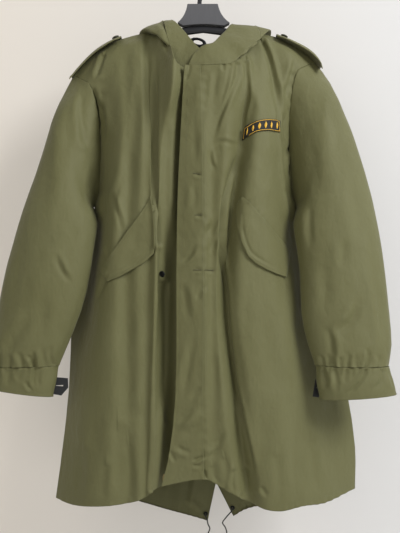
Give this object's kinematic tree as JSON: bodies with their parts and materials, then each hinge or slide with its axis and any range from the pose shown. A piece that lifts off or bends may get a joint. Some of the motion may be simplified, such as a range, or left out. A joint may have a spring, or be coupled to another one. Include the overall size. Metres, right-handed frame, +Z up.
{
  "type": "fishtail parka on a coat hanger",
  "caption": "Olive fishtail parka hanging open on a plastic hanger, with a fallen hood, storm flap, slanted pocket flaps, shoulder loops and a split tail.",
  "frame": {"origin": "inner top of the hanger's hook, where a rail carries it", "axes": "+Z up; +X to the right of someone facing the front of the coat, which is the wearer's left; -Y out of the front"},
  "size_m": [0.819, 0.264, 1.3142],
  "materials": {
    "shell_cloth": "matte closely woven cotton and nylon with a faint sheen",
    "dark_cloth": "matte woven tape",
    "patch_twill": "embroidered twill with a yellow edge",
    "zip_tape": "matte woven tape",
    "cord": "braided cord",
    "button_plastic": "moulded, slightly glossy",
    "zip_metal": "aged",
    "dark_metal": "blackened",
    "hanger_black": "satin moulded",
    "hanger_grey": "satin moulded"
  },
  "bodies": {
    "root": {"front_right": "shell_cloth", "front_left": "shell_cloth", "back_right": "shell_cloth", "back_left": "shell_cloth", "sleeve_front_right": "shell_cloth", "sleeve_back_right": "shell_cloth", "sleeve_front_left": "shell_cloth", "sleeve_back_left": "shell_cloth", "cuff_right": "shell_cloth", "cuff_left": "shell_cloth", "cuff_tab_right": "dark_cloth", "cuff_tab_left": "dark_cloth", "hood_right": "shell_cloth", "hood_left": "shell_cloth", "hood_band": "shell_cloth", "storm_flap": "shell_cloth", "pocket_flap_right": "shell_cloth", "pocket_flap_left": "shell_cloth", "shoulder_loop_right": "shell_cloth", "shoulder_loop_left": "shell_cloth", "shoulder_button_right": "button_plastic", "shoulder_button_left": "button_plastic", "chest_patch": "patch_twill", "zip_tape_right": "zip_tape", "zip_tape_left": "zip_tape", "zip_box": "zip_metal", "snap_stud": "dark_metal", "hem_eyelet_right": "dark_metal", "hem_eyelet_left": "dark_metal", "hem_cord_right": "cord", "hem_cord_left": "cord", "hem_knot_right": "cord", "hem_knot_left": "cord", "hang_loop": "dark_cloth", "hanger_arms": "hanger_black", "hanger_head": "hanger_grey", "hanger_hook": "hanger_black"}
  },
  "joints": []
}
